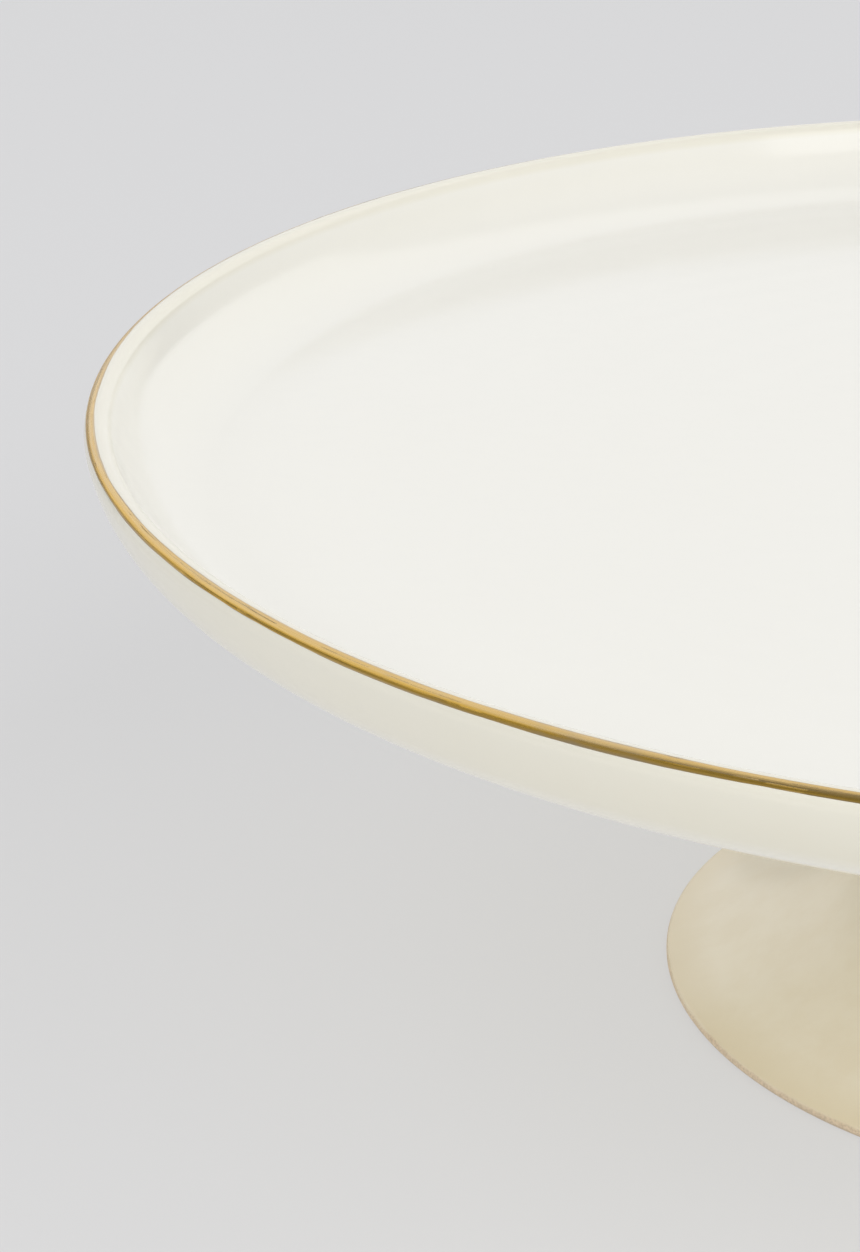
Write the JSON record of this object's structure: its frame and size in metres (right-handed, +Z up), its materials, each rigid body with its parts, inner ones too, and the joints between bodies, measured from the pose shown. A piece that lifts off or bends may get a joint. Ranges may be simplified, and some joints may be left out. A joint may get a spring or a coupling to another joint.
{
  "type": "cake stand",
  "caption": "Low round pedestal cake stand in glazed ceramic: shallow dish with an upturned gilt lip on a hollow flared foot.",
  "frame": {"origin": "on the floor at the centre of the foot", "axes": "+Z up along the stand's axis; the stand is round, so +X and +Y are free"},
  "size_m": [0.3, 0.3, 0.0915],
  "materials": {
    "plate_glaze": "glossy warm white glaze over stoneware",
    "pedestal_glaze": "glossy beige glaze over stoneware, bare clay on the foot ring",
    "bond_slip": "fired slip under glaze",
    "gilt": "brushed-on fired gilt lustre"
  },
  "bodies": {
    "root": {"plate": "plate_glaze", "pedestal": "pedestal_glaze", "bond_ring": "bond_slip", "gilt_rim_band": "gilt"}
  },
  "joints": []
}
